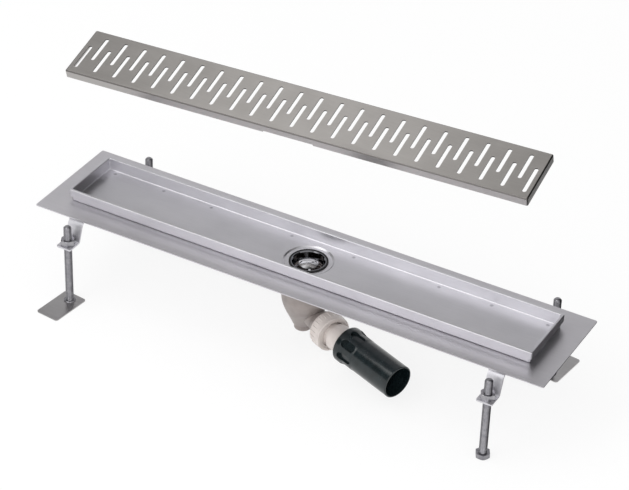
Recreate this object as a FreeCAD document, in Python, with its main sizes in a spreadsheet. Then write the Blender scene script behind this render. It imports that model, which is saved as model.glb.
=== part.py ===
# Linear shower drain: a folded steel channel on a sealing flange, a slotted cover that is lifted out
# and lies beside it in the air, a chromed waste with a bottle trap, a swivelling outlet with a
# push-fit spigot, and four levelling legs.
#
# X runs along the channel, Y to the back and Z up. The origin lies on the floor, under the middle of
# the front left leg's rod. Every other place is given from the axis of the drain hole, in the middle of
# the channel. Lengths are in millimetres and angles in degrees.

import FreeCAD, Part
import Sketcher
import math
import os
import re

doc = FreeCAD.newDocument("linear_drain")
sheet = doc.addObject("Spreadsheet::Sheet", "Sizes")

SIZES = {
    # channel and flange
    "channel_length": 750,
    "channel_width": 105,
    "channel_height": 20,
    "tray_sheet": 1.5,
    "rim_width": 4.2,
    "lip_drop": 10.5,
    "rim_corner_radius": 3,
    "rim_edge_radius": 1.1,
    "bend_radius": 1.5,
    "flange_level": 133,
    "flange_margin": 35,
    "flange_sheet": 1.5,
    "flange_overlap": 12,
    "flange_corner_radius": 2.5,
    "weld_mark_radius": 2.2,
    "weld_mark_depth": 0.35,
    "weld_mark_inset": 8,
    "weld_mark_inner": 51,
    "weld_mark_outer_inset": 105,
    "weld_mark_end_inset": 19,
    # pressed dish and chromed waste
    "dish_radius": 37,
    "dish_depth": 1.5,
    "dish_slope": 2.5,
    "drain_hole_radius": 25,
    "rim_seal_width": 2,
    "rim_seal_height": 1.9,
    "waste_flange_radius": 26.3,
    "waste_flange_height": 1.2,
    "waste_radius": 24.7,
    "waste_wall": 1.5,
    "waste_length": 30,
    "ledge_depth": 16,
    "ledge_height": 4,
    "ledge_radius": 20.5,
    "seal_play": 0.1,
    "insert_play": 0.2,
    # strainer and dip tube
    "strainer_ring_width": 2.2,
    "strainer_ring_height": 2.5,
    "dome_radius": 14,
    "dome_rise": 2.4,
    "dome_recess": 2.2,
    "dome_edge": 1.2,
    "spoke_width": 3,
    "spoke_thickness": 1.8,
    "spoke_count": 4,
    "spoke_turn": 35,
    "grip_width": 2.6,
    "grip_rise": 1.6,
    "grip_slope": 4,
    "grip_edge_radius": 0.8,
    "dip_tube_radius": 19.4,
    "dip_tube_wall": 1.6,
    "dip_tube_flange": 1.5,
    "dip_tube_depth": 70,
    "dip_seal_height": 2.4,
    # trap
    "body_seal_height": 2,
    "body_seal_radius": 34,
    "trap_collar_radius": 36,
    "trap_collar_height": 4,
    "trap_radius": 38,
    "trap_shoulder": 11,
    "trap_wall": 3,
    "trap_straight_end": 58,
    "sump_upper_depth": 79,
    "sump_upper_radius": 31,
    "sump_upper_shift": 3,
    "sump_lower_depth": 97,
    "sump_lower_radius": 21.5,
    "sump_lower_shift": 5,
    "sump_depth": 109,
    "sump_radius": 15.5,
    "sump_shift": 6,
    "plug_hole_radius": 10,
    "plug_radius": 13,
    "plug_height": 10,
    "plug_insert": 5,
    "plug_edge_radius": 1.5,
    "plug_slot_width": 3,
    "plug_slot_depth": 2,
    # swivelling outlet, measured along its axis from the centre of the ball
    "outlet_depth": 87.5,
    "outlet_turn": -27,
    "ball_offset": 56,
    "ball_radius": 22,
    "ball_play": 0.2,
    "ball_back": 14,
    "ball_front": 8,
    "neck_radius": 16.2,
    "neck_bore": 13.2,
    "neck_end": 26,
    "socket_radius": 24.4,
    "socket_back": 9,
    "socket_front": 2,
    "swivel_seal_length": 3.6,
    "nut_radius": 27,
    "nut_back": 9,
    "nut_taper": 3,
    "nut_front": 13,
    "nut_lip": 3,
    "nut_recess_radius": 23,
    "nut_recess_depth": 1.2,
    "nut_edge_radius": 1.2,
    "nut_grip_length": 10,
    "nut_rib_count": 24,
    "nut_rib_radius": 0.7,
    "swivel_turn": 8.4,
    "swivel_dip": 2.9,
    "pipe_ball_bore": 14.3,
    "pipe_neck_radius": 16.8,
    "pipe_shoulder": 17,
    "pipe_radius": 20,
    "pipe_wall": 2,
    "pipe_end": 70,
    # spigot adapter, measured along the swivelled axis from the centre of the ball
    "adapter_start": 37.5,
    "adapter_end": 145,
    "adapter_play": 0.3,
    "bulb_radius": 27.4,
    "bulb_length": 10,
    "bulb_taper": 9,
    "bulb_lip_radius": 3.5,
    "bulb_shoulder_radius": 8,
    "groove_start": 4,
    "groove_length": 5,
    "groove_depth": 2.8,
    "waist_radius": 25.6,
    "waist_length": 14,
    "waist_taper": 4,
    "flute_count": 8,
    "flute_width": 12,
    "flute_length": 25,
    "flute_depth": 3.2,
    "stop_length": 3,
    "stop_radius": 18,
    "stop_taper": 5,
    "spigot_radius": 25,
    "spigot_wall": 2,
    "spigot_chamfer": 0.8,
    # legs
    "leg_inset": 70,
    "leg_outset": 20.5,
    "strap_width": 24,
    "strap_sheet": 2.5,
    "strap_hold": 31.5,
    "strap_bend_inset": 1.5,
    "strap_run": 11,
    "strap_drop": 30.5,
    "strap_bend_radius": 13,
    "strap_foot_radius": 2,
    "strap_end_beyond_rod": 12,
    "strap_corner_radius": 2,
    "rod_radius": 6,
    "rod_hole_radius": 6.3,
    "rod_top_below_flange": 1.5,
    "rod_tip_chamfer": 2,
    "nut_across_flats": 19,
    "nut_height": 9,
    "washer_radius": 9.5,
    "washer_height": 1.6,
    "head_across_flats": 19,
    "head_height": 7.5,
    "hex_chamfer_angle": 30,
    "foot_plate_width": 39,
    "foot_plate_length": 66,
    "foot_plate_sheet": 1.5,
    "foot_plate_inner": 14,
    "foot_plate_turn": -6.5,
    "foot_plate_corner_radius": 4,
    "foot_collar_radius": 9,
    "foot_collar_height": 1.5,
    # cover
    "cover_gap": 1.5,
    "cover_sheet": 1.5,
    "cover_height": 13,
    "cover_edge_radius": 2,
    "cover_corner_radius": 2.5,
    "slot_width": 6,
    "slot_length": 48,
    "slot_pitch": 32.6,
    "slot_row_offset": 11,
    "slot_margin": 10,
    "notch_width": 80,
    "notch_height": 2,
    # place of the lifted cover, from the middle of the flange to the middle of the cover's top
    "cover_along": -80,
    "cover_back": 110,
    "cover_lift": 167,
    "cover_tilt": 14,
    "cover_lean": -1.1,
    "cover_turn": 2.6,
}

for row, (alias, number) in enumerate(SIZES.items(), start=1):
    sheet.set(f"A{row}", alias)
    sheet.set(f"B{row}", str(number))
    sheet.setAlias(f"B{row}", alias)
doc.recompute()


def formula(text):
    """Turns the size names in a formula into references to the sheet."""
    return re.sub(r"[a-z][a-z_]*", lambda word: "Sizes." + word[0] if word[0] in SIZES else word[0], str(text))


def bind(item, place, text):
    item.setExpression(place, formula(text))


def value(text):
    """The present value of a size or of a formula."""
    return float(sheet.evalExpression(formula(text)))


# Places that several pieces share, from the axis of the drain hole and from the floor

FLANGE_END = "(channel_length / 2 + flange_margin)"
FLANGE_SIDE = "(channel_width / 2 + flange_margin)"
LEG_ALONG = f"({FLANGE_END} - leg_inset)"
LEG_ACROSS = f"({FLANGE_SIDE} + leg_outset)"
WASTE_LEVEL = "(flange_level + tray_sheet)"
BALL_ALONG = "ball_offset * cos(outlet_turn)"
BALL_ACROSS = "ball_offset * sin(outlet_turn)"
BALL_LEVEL = f"{WASTE_LEVEL} - outlet_depth"


# Bodies and sketches


def new_body(label, along=0, across=0, lift="flange_level", turn=0, dip=0, roll=0):
    """An empty body at the given place, turned about Z, then dipped about Y, then rolled about X."""
    body = doc.addObject("PartDesign::Body", label)
    body.Label = label
    point = f"vector({along} + {LEG_ALONG}; {across} + {LEG_ACROSS}; {lift})"
    bind(body, "Placement", f"placement({point}; rotation({turn}; {dip}; {roll}))")
    return body


def new_sketch(body, name, plane="XY_Plane", lift=0, along=0, across=0, turn=0):
    """A sketch on one of the body's own planes, moved off it by lift and turned about its normal."""
    sketch = body.newObject("Sketcher::SketchObject", name)
    support = next(item for item in body.Origin.OriginFeatures if item.Role == plane)
    sketch.AttachmentSupport = [(support, "")]
    sketch.MapMode = "FlatFace"
    bind(sketch, "AttachmentOffset", f"placement(vector({along}; {across}; {lift}); rotation({turn}; 0; 0))")
    return sketch


def fix(sketch, kind, targets, text):
    """Adds a constraint whose value is a formula."""
    number = sketch.addConstraint(Sketcher.Constraint(kind, *targets, value(text)))
    bind(sketch, f"Constraints[{number}]", text)


def outline(sketch, corners, arcs=()):
    """Draws a closed outline through corners given as pairs of formulas, and fixes each corner.

    arcs holds the numbers of the edges that are arcs about the sketch's origin, bulging upwards
    and drawn from left to right. The far corner of an arc has None as its second coordinate.
    """
    first = sketch.GeometryCount
    count = len(corners)
    points = []
    for along, across in corners:
        x = value(along)
        y = math.sqrt(points[-1].Length ** 2 - x ** 2) if across is None else value(across)
        points.append(FreeCAD.Vector(x, y, 0))
    for number, start in enumerate(points):
        end = points[(number + 1) % count]
        if number in arcs:
            ring = Part.Circle(FreeCAD.Vector(), FreeCAD.Vector(0, 0, 1), start.Length)
            edge = Part.ArcOfCircle(ring, math.atan2(end.y, end.x), math.atan2(start.y, start.x))
        else:
            edge = Part.LineSegment(start, end)
        sketch.addGeometry(edge, False)
    starts = [2 if number in arcs else 1 for number in range(count)]
    for number in range(count):
        following = (number + 1) % count
        joint = (first + number, 3 - starts[number], first + following, starts[following])
        sketch.addConstraint(Sketcher.Constraint("Coincident", *joint))
    for number in arcs:
        sketch.addConstraint(Sketcher.Constraint("Coincident", first + number, 3, -1, 1))
    for number, corner in enumerate(corners):
        for kind, text in zip(("DistanceX", "DistanceY"), corner):
            if text is not None:
                fix(sketch, kind, (-1, 1, first + number, starts[number]), text)


def rectangle(sketch, left, right, low, high):
    outline(sketch, [(left, low), (right, low), (right, high), (left, high)])


def centred_rectangle(sketch, length, width):
    rectangle(sketch, f"-({length}) / 2", f"({length}) / 2", f"-({width}) / 2", f"({width}) / 2")


def circle(sketch, radius, along=0, across=0):
    middle = FreeCAD.Vector(value(along), value(across), 0)
    number = sketch.addGeometry(Part.Circle(middle, FreeCAD.Vector(0, 0, 1), value(radius)), False)
    fix(sketch, "DistanceX", (-1, 1, number, 3), along)
    fix(sketch, "DistanceY", (-1, 1, number, 3), across)
    fix(sketch, "Radius", (number,), radius)


def obround(sketch, width, length, along=0, across=0, lengthwise=False):
    """A slot with round ends, long across the sketch or, if lengthwise, along it."""
    radius = value(width) / 2
    tilt = -math.pi / 2 if lengthwise else 0
    up = FreeCAD.Vector(0, 0, 1)
    side = FreeCAD.Vector(math.cos(tilt), math.sin(tilt), 0) * radius
    reach = up.cross(side) * (value(length) / value(width) - 1)
    middle = FreeCAD.Vector(value(along), value(across), 0)
    far, close = middle + reach, middle - reach
    first = sketch.GeometryCount

    def half_ring(centre, start):
        return Part.ArcOfCircle(Part.Circle(centre, up, radius), start, start + math.pi)

    sketch.addGeometry(half_ring(far, tilt), False)
    sketch.addGeometry(Part.LineSegment(far - side, close - side), False)
    sketch.addGeometry(half_ring(close, tilt + math.pi), False)
    sketch.addGeometry(Part.LineSegment(close + side, far + side), False)
    for number in range(4):
        end = (first + number, 2, first + (number + 1) % 4, 1)
        sketch.addConstraint(Sketcher.Constraint("Tangent", *end))
    sketch.addConstraint(Sketcher.Constraint("Equal", first, first + 2))
    fix(sketch, "Radius", (first,), f"{width} / 2")
    half = f"({length} - {width}) / 2"
    steady, moving = ("DistanceY", "DistanceX") if lengthwise else ("DistanceX", "DistanceY")
    centre = {"DistanceX": along, "DistanceY": across}
    for number, sign in ((first, "+"), (first + 2, "-")):
        fix(sketch, steady, (-1, 1, number, 3), centre[steady])
        fix(sketch, moving, (-1, 1, number, 3), f"{centre[moving]} {sign} {half}")


# Features


def pad(body, sketch, length, down=False, both=False, cut=False):
    """Pads a sketch along its normal, or cuts against its normal. With down set, it goes the other way."""
    feature = body.newObject("PartDesign::Pocket" if cut else "PartDesign::Pad", sketch.Label + "Step")
    feature.Profile = sketch
    bind(feature, "Length", length)
    feature.Reversed = down
    if both:
        feature.SideType = "Symmetric"
    return feature


def pocket(body, sketch, length, up=False, both=False):
    return pad(body, sketch, length, down=up, both=both, cut=True)


def turned(body, sketch, axis="V_Axis", cut=False):
    """Revolves a sketch, or cuts the revolved shape away."""
    feature = body.newObject("PartDesign::Groove" if cut else "PartDesign::Revolution", sketch.Label + "Turn")
    feature.Profile = sketch
    feature.ReferenceAxis = (sketch, [axis])
    feature.Angle = 360
    return feature


def bored(body, sketch, axis="V_Axis"):
    return turned(body, sketch, axis, cut=True)


def lofted(body, sketches, cut=False):
    feature = body.newObject("PartDesign::SubtractiveLoft" if cut else "PartDesign::AdditiveLoft", "Loft")
    feature.Profile = sketches[0]
    feature.Sections = sketches[1:]
    return feature


def repeated(body, feature, axis, count, length=None):
    """Repeats a feature on a line of the given length, or evenly round an axis."""
    kind = "LinearPattern" if length else "PolarPattern"
    pattern = body.newObject("PartDesign::" + kind, kind)
    pattern.Originals = [feature]
    bind(pattern, "Occurrences", count)
    if length:
        pattern.Direction = axis
        bind(pattern, "Length", length)
    else:
        pattern.Axis = axis
        pattern.Angle = 360
    body.Tip = pattern
    return pattern


def rounded(body, base, wanted, radius):
    """Rounds the edges of base that the test picks."""
    doc.recompute()
    edges = [f"Edge{number}" for number, edge in enumerate(base.Shape.Edges, start=1) if wanted(edge)]
    feature = body.newObject("PartDesign::Fillet", "Rounding")
    feature.Base = (base, edges)
    bind(feature, "Radius", radius)
    return feature


def near(first, second):
    return abs(first - second) < 1e-4


def spans_height(edge, low, high):
    box = edge.BoundBox
    return near(box.ZMin, low) and near(box.ZMax, high)


def level_at(edge, height):
    return spans_height(edge, height, height)


def is_upright(edge):
    box = edge.BoundBox
    return near(box.XLength, 0) and near(box.YLength, 0)


def is_off_axis(edge, across):
    """Whether an edge's middle lies at the given distance in front of or behind the X axis."""
    return near(abs(edge.BoundBox.Center.y), across)


def ring_at(edge, along, radius):
    """Whether an edge is a circle about the X axis at the given place."""
    box = edge.BoundBox
    return near(box.XLength, 0) and near(box.XMin, along) and abs(box.YMax - radius) < 1e-3


def turned_piece(label, corners, along=0, across=0, lift=WASTE_LEVEL):
    """A body turned about its upright axis from corners given as radius and height."""
    body = new_body(label, along, across, lift)
    profile = new_sketch(body, "Profile", "XZ_Plane")
    outline(profile, corners)
    turned(body, profile)
    return body


# Channel and flange

WALL_LENGTH = "(channel_length - 2 * rim_width + 2 * tray_sheet)"
WALL_WIDTH = "(channel_width - 2 * rim_width + 2 * tray_sheet)"
INNER_LENGTH = "(channel_length - 2 * rim_width)"
INNER_WIDTH = "(channel_width - 2 * rim_width)"


def make_channel_tray():
    body = new_body("channel_tray")
    block = new_sketch(body, "Block")
    centred_rectangle(block, WALL_LENGTH, WALL_WIDTH)
    shell = pad(body, block, "channel_height")
    rounded(body, shell, lambda edge: level_at(edge, 0) or is_upright(edge), "bend_radius + tray_sheet")
    rim = new_sketch(body, "Rim", lift="channel_height")
    centred_rectangle(rim, "channel_length", "channel_width")
    pad(body, rim, "tray_sheet", down=True)
    lip = new_sketch(body, "Lip", lift="channel_height")
    centred_rectangle(lip, "channel_length", "channel_width")
    centred_rectangle(lip, "channel_length - 2 * tray_sheet", "channel_width - 2 * tray_sheet")
    lipped = pad(body, lip, "lip_drop", down=True)
    half_width = value("channel_width") / 2
    rounded(body, lipped, lambda edge: is_upright(edge) and is_off_axis(edge, half_width), "rim_corner_radius")

    hollow = new_sketch(body, "Hollow", lift="channel_height")
    centred_rectangle(hollow, INNER_LENGTH, INNER_WIDTH)
    hollowed = pocket(body, hollow, "channel_height - tray_sheet")
    floor = value("tray_sheet")
    top = value("channel_height")

    def inner_bend(edge):
        return level_at(edge, floor) or (is_upright(edge) and spans_height(edge, floor, top))

    bent = rounded(body, hollowed, inner_bend, "bend_radius")
    rounded(body, bent, lambda edge: level_at(edge, top), "rim_edge_radius")

    opening = new_sketch(body, "DishOpening", lift="tray_sheet")
    circle(opening, "dish_radius")
    pocket(body, opening, "2 * tray_sheet")
    dish = new_sketch(body, "Dish", "XZ_Plane")
    outline(dish, [
        ("dish_radius", 0),
        ("dish_radius", "tray_sheet"),
        ("dish_radius - dish_slope", "tray_sheet - dish_depth"),
        ("drain_hole_radius", "tray_sheet - dish_depth"),
        ("drain_hole_radius", "-dish_depth"),
        ("dish_radius - dish_slope", "-dish_depth"),
    ])
    turned(body, dish)

    marks = new_sketch(body, "WeldMarks", lift="tray_sheet")
    places = (
        "weld_mark_inner",
        "channel_length / 4",
        "(channel_length / 2 - weld_mark_outer_inset)",
        "(channel_length / 2 - weld_mark_end_inset)",
    )
    for place in places:
        for side in ("-", ""):
            for row in ("-", ""):
                circle(marks, "weld_mark_radius", side + place, f"{row}({INNER_WIDTH} / 2 - weld_mark_inset)")
    pocket(body, marks, "weld_mark_depth")


def make_sealing_flange():
    body = new_body("sealing_flange", lift="flange_level - flange_sheet")
    plate = new_sketch(body, "Plate")
    centred_rectangle(plate, f"2 * {FLANGE_END}", f"2 * {FLANGE_SIDE}")
    centred_rectangle(plate, f"{WALL_LENGTH} - 2 * flange_overlap", f"{WALL_WIDTH} - 2 * flange_overlap")
    frame = pad(body, plate, "flange_sheet")
    side = value(FLANGE_SIDE)
    rounded(body, frame, lambda edge: is_upright(edge) and is_off_axis(edge, side), "flange_corner_radius")


# Waste, strainer and dip tube, with heights measured from the top of the channel's floor


def make_waste():
    seal_inner = "waste_flange_radius + seal_play"
    seal_outer = "waste_flange_radius + seal_play + rim_seal_width"
    turned_piece("rim_seal", [
        (seal_inner, "-dish_depth"),
        (seal_outer, "-dish_depth"),
        (seal_outer, "-dish_depth + rim_seal_height - rim_seal_width / 3"),
        (f"{seal_outer} - rim_seal_width / 3", "-dish_depth + rim_seal_height"),
        (seal_inner, "-dish_depth + rim_seal_height"),
    ])
    inner = "waste_radius - waste_wall"
    turned_piece("waste_cup", [
        ("waste_radius", "-dish_depth"),
        ("waste_flange_radius", "-dish_depth"),
        ("waste_flange_radius", "-dish_depth + waste_flange_height / 2"),
        ("waste_flange_radius - waste_flange_height / 2", "-dish_depth + waste_flange_height"),
        (f"{inner} + waste_flange_height", "-dish_depth + waste_flange_height"),
        (inner, "-dish_depth"),
        (inner, "-ledge_depth"),
        ("ledge_radius", "-ledge_depth"),
        ("ledge_radius", "-ledge_depth - ledge_height"),
        (inner, "-ledge_depth - ledge_height - (waste_radius - waste_wall - ledge_radius)"),
        (inner, "-dish_depth - waste_length"),
        ("waste_radius", "-dish_depth - waste_length"),
    ])
    turned_piece("body_seal", [
        ("drain_hole_radius + seal_play", "-dish_depth - tray_sheet - body_seal_height"),
        ("body_seal_radius", "-dish_depth - tray_sheet - body_seal_height"),
        ("body_seal_radius", "-dish_depth - tray_sheet"),
        ("drain_hole_radius + seal_play", "-dish_depth - tray_sheet"),
    ])


def make_strainer():
    """A lens-shaped dome with a finger grip, carried by sloping spokes on a ring."""
    ring_outer = "waste_radius - waste_wall - insert_play"
    ring_inner = f"{ring_outer} - strainer_ring_width"
    ring_low = "-ledge_depth + dip_tube_flange"
    ring_high = f"{ring_low} + strainer_ring_height"
    dome_edge = "-dome_recess - dome_rise"
    body = new_body("strainer", lift=WASTE_LEVEL, turn="spoke_turn")
    cap_radius = "(dome_radius ^ 2 + dome_rise ^ 2) / (2 * dome_rise)"
    dome = new_sketch(body, "Dome", "XZ_Plane", across=f"-dome_recess - {cap_radius}")
    outline(dome, [
        (0, cap_radius),
        ("dome_radius", None),
        ("dome_radius", f"{cap_radius} - dome_rise - dome_edge"),
        (0, f"{cap_radius} - dome_rise - dome_edge"),
    ], arcs=(0,))
    turned(body, dome)
    ring = new_sketch(body, "Ring", "XZ_Plane")
    rectangle(ring, ring_inner, ring_outer, ring_low, ring_high)
    spoke = new_sketch(body, "Spoke", "XZ_Plane")
    outline(spoke, [
        ("dome_radius - spoke_thickness", dome_edge),
        (f"{ring_inner} + strainer_ring_width / 2", ring_high),
        (f"{ring_inner} + strainer_ring_width / 2", f"{ring_high} - spoke_thickness"),
        ("dome_radius - spoke_thickness", f"{dome_edge} - spoke_thickness"),
    ])
    spoke_pad = pad(body, spoke, "spoke_width", both=True)
    repeated(body, spoke_pad, (body.Origin.OriginFeatures[2], [""]), "spoke_count")
    turned(body, ring)
    grip = new_sketch(body, "Grip", "XZ_Plane")
    outline(grip, [
        ("-dome_radius + dome_edge", f"{dome_edge} - dome_edge / 2"),
        ("-dome_radius + dome_edge", dome_edge),
        ("-dome_radius + dome_edge + grip_slope", "-dome_recess + grip_rise"),
        ("dome_radius - dome_edge - grip_slope", "-dome_recess + grip_rise"),
        ("dome_radius - dome_edge", dome_edge),
        ("dome_radius - dome_edge", f"{dome_edge} - dome_edge / 2"),
    ])
    grip_pad = pad(body, grip, "grip_width", both=True)
    top = value("grip_rise - dome_recess")
    rounded(body, grip_pad, lambda edge: level_at(edge, top), "grip_edge_radius")

    tube_inner = "dip_tube_radius - dip_tube_wall"
    turned_piece("dip_tube", [
        (tube_inner, "-dip_tube_depth"),
        ("dip_tube_radius", "-dip_tube_depth"),
        ("dip_tube_radius", "-ledge_depth"),
        (ring_outer, "-ledge_depth"),
        (ring_outer, ring_low),
        (tube_inner, ring_low),
    ])
    seal_top = "-ledge_depth - seal_play"
    turned_piece("dip_seal", [
        ("dip_tube_radius", f"{seal_top} - dip_seal_height"),
        ("ledge_radius - seal_play", f"{seal_top} - dip_seal_height"),
        ("ledge_radius - seal_play", seal_top),
        ("dip_tube_radius", seal_top),
    ])


# Trap and its outlet socket

TRAP_TOP = "(dish_depth + tray_sheet + body_seal_height)"


def sump_sections(body, wall, floor, name):
    """Circles of the sump from its straight part down to its floor, each moved further off the axis."""
    stations = (
        ("trap_straight_end", "trap_radius", 0),
        ("sump_upper_depth", "sump_upper_radius", "sump_upper_shift"),
        ("sump_lower_depth", "sump_lower_radius", "sump_lower_shift"),
        (floor, "sump_radius", "sump_shift"),
    )
    sections = []
    for number, (depth, radius, shift) in enumerate(stations):
        section = new_sketch(body, f"{name}{number}", lift=f"-({depth})")
        circle(section, f"{radius} - {wall}", f"-({shift})")
        sections.append(section)
    return sections


def outlet_sketch(body, name):
    """A level sketch along the outlet's axis, with its origin at the centre of the ball."""
    return new_sketch(body, name, "XY_Plane", "-outlet_depth", BALL_ALONG, BALL_ACROSS, "outlet_turn")


def make_trap_body():
    body = new_body("trap_body", lift=WASTE_LEVEL)
    drum = new_sketch(body, "Drum", "XZ_Plane")
    outline(drum, [
        (0, f"-{TRAP_TOP}"),
        ("trap_collar_radius", f"-{TRAP_TOP}"),
        ("trap_collar_radius", f"-{TRAP_TOP} - trap_collar_height"),
        ("trap_radius", f"-{TRAP_TOP} - trap_collar_height - (trap_radius - trap_collar_radius)"),
        ("trap_radius", "-trap_straight_end"),
        (0, "-trap_straight_end"),
    ])
    turned(body, drum)
    lofted(body, sump_sections(body, 0, "sump_depth", "Sump"))
    socket = outlet_sketch(body, "Socket")
    outline(socket, [
        ("-ball_offset + neck_bore", 0),
        ("-ball_offset + neck_bore", "neck_radius"),
        ("-neck_end", "neck_radius"),
        ("-socket_back", "socket_radius"),
        ("socket_front", "socket_radius"),
        ("socket_front", 0),
    ])
    turned(body, socket, "H_Axis")

    thread_bore = "waste_radius + seal_play"
    chamber = new_sketch(body, "Chamber", "XZ_Plane")
    outline(chamber, [
        (0, f"-{TRAP_TOP}"),
        (thread_bore, f"-{TRAP_TOP}"),
        (thread_bore, f"-{TRAP_TOP} - trap_shoulder"),
        ("trap_radius - trap_wall", f"-{TRAP_TOP} - trap_shoulder"),
        ("trap_radius - trap_wall", "-trap_straight_end"),
        (0, "-trap_straight_end"),
    ])
    bored(body, chamber)
    lofted(body, sump_sections(body, "trap_wall", "sump_depth - trap_wall", "Inside"), cut=True)
    drain = new_sketch(body, "PlugHole", lift="-sump_depth")
    circle(drain, "plug_hole_radius", "-sump_shift")
    pocket(body, drain, "2 * trap_wall", up=True)
    bore = outlet_sketch(body, "Bore")
    cup_radius = "(ball_radius + ball_play)"
    outline(bore, [
        (f"-sqrt({cup_radius} ^ 2 - neck_bore ^ 2)", "neck_bore"),
        (0, None),
        ("socket_front", cup_radius),
        ("socket_front", 0),
        ("-ball_offset + neck_bore", 0),
        ("-ball_offset + neck_bore", "neck_bore"),
    ], arcs=(0,))
    bored(body, bore, "H_Axis")


def make_trap_plug():
    body = turned_piece("trap_plug", [
        (0, "-sump_depth - plug_height"),
        ("plug_radius", "-sump_depth - plug_height"),
        ("plug_radius", "-sump_depth"),
        ("plug_hole_radius - seal_play", "-sump_depth"),
        ("plug_hole_radius - seal_play", "-sump_depth + plug_insert"),
        (0, "-sump_depth + plug_insert"),
    ], along="-sump_shift")
    bottom = value("-sump_depth - plug_height")
    rounded(body, body.Tip, lambda edge: level_at(edge, bottom), "plug_edge_radius")
    slot = new_sketch(body, "CoinSlot", lift="-sump_depth - plug_height")
    centred_rectangle(slot, "plug_radius", "plug_slot_width")
    pocket(body, slot, "plug_slot_depth", up=True)


# Outlet pieces, modelled along X from the centre of the ball


def outlet_body(label, swivelled):
    turn = "outlet_turn + swivel_turn" if swivelled else "outlet_turn"
    return new_body(label, BALL_ALONG, BALL_ACROSS, BALL_LEVEL, turn, "swivel_dip" if swivelled else 0)


def make_union_nut():
    """A ribbed ring whose lip holds the ball in its socket, with a shallow recess round the hole."""
    body = outlet_body("union_nut", swivelled=False)
    thread_bore = "socket_radius + seal_play"
    lip_back = "nut_front - nut_lip"
    hole = f"sqrt(ball_radius ^ 2 - ({lip_back}) ^ 2) + ball_play"
    ring = new_sketch(body, "Ring")
    outline(ring, [
        ("-nut_back", thread_bore),
        ("-nut_back", "nut_radius - nut_taper / 3"),
        ("-nut_back + nut_taper", "nut_radius"),
        ("nut_front", "nut_radius"),
        ("nut_front", "nut_recess_radius"),
        ("nut_front - nut_recess_depth", "nut_recess_radius"),
        ("nut_front - nut_recess_depth", hole),
        (lip_back, hole),
        (lip_back, thread_bore),
    ])
    shape = turned(body, ring, "H_Axis")
    front, outer = value("nut_front"), value("nut_radius")
    rounded(body, shape, lambda edge: ring_at(edge, front, outer), "nut_edge_radius")
    rib = new_sketch(body, "Rib", "YZ_Plane", lift="-nut_back + nut_taper")
    circle(rib, "nut_rib_radius", 0, "nut_radius")
    rib_pad = pad(body, rib, "nut_grip_length")
    repeated(body, rib_pad, (body.Origin.OriginFeatures[0], [""]), "nut_rib_count")


def make_swivel_seal():
    body = outlet_body("swivel_seal", swivelled=False)
    ring = new_sketch(body, "Ring")
    back = "socket_front + seal_play"
    rectangle(ring, back, f"{back} + swivel_seal_length", "ball_radius", "socket_radius - seal_play")
    turned(body, ring, "H_Axis")


def make_swivel_pipe():
    body = outlet_body("swivel_pipe", swivelled=True)
    pipe_bore = "pipe_radius - pipe_wall"
    profile = new_sketch(body, "Profile")
    outline(profile, [
        ("-ball_back", "sqrt(ball_radius ^ 2 - ball_back ^ 2)"),
        ("ball_front", None),
        ("ball_front", "pipe_neck_radius"),
        ("pipe_shoulder", "pipe_neck_radius"),
        ("pipe_shoulder", "pipe_radius"),
        ("pipe_end", "pipe_radius"),
        ("pipe_end", pipe_bore),
        (f"pipe_shoulder + {pipe_bore} - pipe_ball_bore", pipe_bore),
        ("pipe_shoulder", "pipe_ball_bore"),
        ("-ball_back", "pipe_ball_bore"),
    ], arcs=(0,))
    turned(body, profile, "H_Axis")


def make_spigot_adapter():
    """A moulded reducer: a socket bulb with a seal groove, a fluted waist and a plain spigot."""
    body = outlet_body("spigot_adapter", swivelled=True)
    socket = "pipe_radius + adapter_play"
    groove = f"{socket} + groove_depth"
    bulb_end = "adapter_start + bulb_length"
    waist_start = f"{bulb_end} + bulb_taper"
    waist_end = f"{waist_start} + waist_length"
    stop = "pipe_end + adapter_play"
    bore = "spigot_radius - spigot_wall"
    profile = new_sketch(body, "Profile")
    outline(profile, [
        ("adapter_start", socket),
        ("adapter_start", "bulb_radius"),
        (bulb_end, "bulb_radius"),
        (waist_start, "waist_radius"),
        (waist_end, "waist_radius"),
        (f"{waist_end} + waist_taper", "spigot_radius"),
        ("adapter_end", "spigot_radius"),
        ("adapter_end", bore),
        (f"{stop} + stop_length + stop_taper", bore),
        (f"{stop} + stop_length", "stop_radius"),
        (stop, "stop_radius"),
        (stop, socket),
        ("adapter_start + groove_start + groove_length", socket),
        ("adapter_start + groove_start + groove_length", groove),
        ("adapter_start + groove_start", groove),
        ("adapter_start + groove_start", socket),
    ])
    tube = turned(body, profile, "H_Axis")
    start, end = value("adapter_start"), value("adapter_end")
    bulb = value("bulb_radius")
    shoulder = value(bulb_end)
    lip = rounded(body, tube, lambda edge: ring_at(edge, start, bulb), "bulb_lip_radius")
    rounded(body, lip, lambda edge: ring_at(edge, shoulder, bulb), "bulb_shoulder_radius")
    flute = new_sketch(body, "Flute", lift="waist_radius - flute_depth")
    obround(flute, "flute_width", "flute_length", f"{bulb_end} + flute_length / 2", lengthwise=True)
    cut = pocket(body, flute, "bulb_radius", up=True)
    fluted = repeated(body, cut, (body.Origin.OriginFeatures[0], [""]), "flute_count")
    doc.recompute()
    mouth = value("spigot_radius")
    edges = [
        f"Edge{number}" for number, edge in enumerate(fluted.Shape.Edges, start=1) if ring_at(edge, end, mouth)
    ]
    chamfer = body.newObject("PartDesign::Chamfer", "MouthChamfer")
    chamfer.Base = (fluted, edges)
    bind(chamfer, "Size", "spigot_chamfer")


def make_adapter_seal():
    body = outlet_body("adapter_seal", swivelled=True)
    ring = new_sketch(body, "Ring")
    start = "adapter_start + groove_start + seal_play"
    end = "adapter_start + groove_start + groove_length - seal_play"
    rectangle(ring, start, end, "pipe_radius + seal_play", "pipe_radius + adapter_play + groove_depth - seal_play")
    turned(body, ring, "H_Axis")


# Legs

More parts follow.
